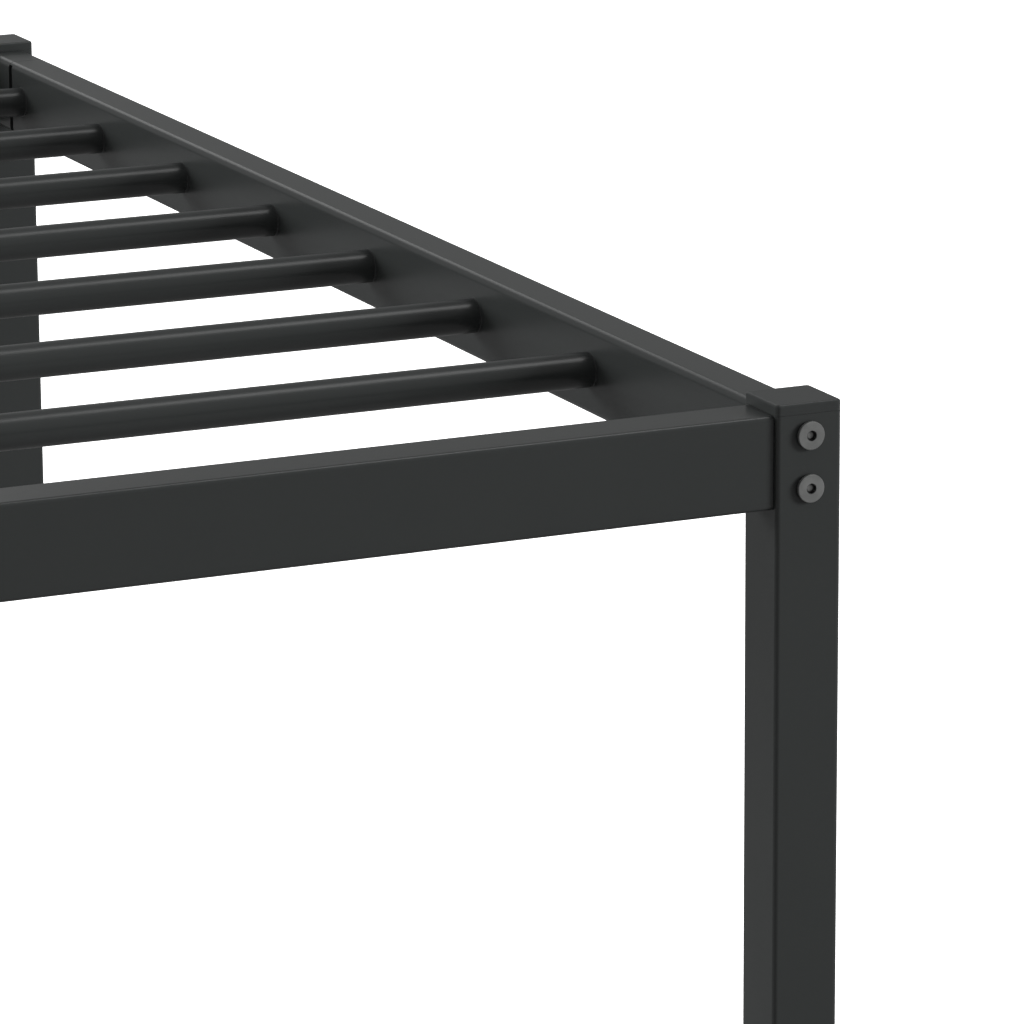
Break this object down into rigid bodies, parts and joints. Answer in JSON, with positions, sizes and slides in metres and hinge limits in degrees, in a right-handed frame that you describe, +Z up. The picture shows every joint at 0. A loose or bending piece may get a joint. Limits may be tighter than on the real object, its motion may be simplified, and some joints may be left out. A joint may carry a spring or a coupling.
{
  "type": "metal bed frame",
  "caption": "Low rectangular bed frame with square tube posts, flat tube rails and round tube slats, bolted at the corners.",
  "frame": {"origin": "on the floor, under the middle of the bed", "axes": "+X to the right seen from the foot end, +Y from the foot end towards the head end, +Z up"},
  "size_m": [0.97, 2.0046, 0.31],
  "materials": {
    "powder_coated_steel": "semi-matte dark grey powder coat",
    "bolt_steel": "zinc plated, satin",
    "insert_steel": "zinc plated",
    "cap_plastic": "satin plastic in the colour of the frame",
    "foot_plastic": "matte black plastic"
  },
  "bodies": {
    "root": {"foot_rail": "powder_coated_steel", "head_rail": "powder_coated_steel", "mid_rail": "powder_coated_steel", "post_foot_left": "powder_coated_steel", "end_cap_foot_left": "cap_plastic", "floor_plug_foot_left": "foot_plastic", "post_foot_right": "powder_coated_steel", "end_cap_foot_right": "cap_plastic", "floor_plug_foot_right": "foot_plastic", "post_head_left": "powder_coated_steel", "end_cap_head_left": "cap_plastic", "floor_plug_head_left": "foot_plastic", "post_head_right": "powder_coated_steel", "end_cap_head_right": "cap_plastic", "floor_plug_head_right": "foot_plastic", "post_mid_left": "powder_coated_steel", "end_cap_mid_left": "cap_plastic", "floor_plug_mid_left": "foot_plastic", "post_mid_right": "powder_coated_steel", "end_cap_mid_right": "cap_plastic", "floor_plug_mid_right": "foot_plastic", "side_rail_foot_left": "powder_coated_steel", "rail_insert_foot_left": "insert_steel", "joint_stub_foot_left": "powder_coated_steel", "corner_bolt_foot_left_upper": "bolt_steel", "corner_bolt_foot_left_lower": "bolt_steel", "joint_bolt_foot_left": "bolt_steel", "side_rail_foot_right": "powder_coated_steel", "rail_insert_foot_right": "insert_steel", "joint_stub_foot_right": "powder_coated_steel", "corner_bolt_foot_right_upper": "bolt_steel", "corner_bolt_foot_right_lower": "bolt_steel", "joint_bolt_foot_right": "bolt_steel", "side_rail_head_left": "powder_coated_steel", "rail_insert_head_left": "insert_steel", "joint_stub_head_left": "powder_coated_steel", "corner_bolt_head_left_upper": "bolt_steel", "corner_bolt_head_left_lower": "bolt_steel", "joint_bolt_head_left": "bolt_steel", "side_rail_head_right": "powder_coated_steel", "rail_insert_head_right": "insert_steel", "joint_stub_head_right": "powder_coated_steel", "corner_bolt_head_right_upper": "bolt_steel", "corner_bolt_head_right_lower": "bolt_steel", "joint_bolt_head_right": "bolt_steel", "slat_foot_1": "powder_coated_steel", "slat_foot_2": "powder_coated_steel", "slat_foot_3": "powder_coated_steel", "slat_foot_4": "powder_coated_steel", "slat_foot_5": "powder_coated_steel", "slat_foot_6": "powder_coated_steel", "slat_foot_7": "powder_coated_steel", "slat_head_1": "powder_coated_steel", "slat_head_2": "powder_coated_steel", "slat_head_3": "powder_coated_steel", "slat_head_4": "powder_coated_steel", "slat_head_5": "powder_coated_steel", "slat_head_6": "powder_coated_steel", "slat_head_7": "powder_coated_steel"}
  },
  "joints": []
}
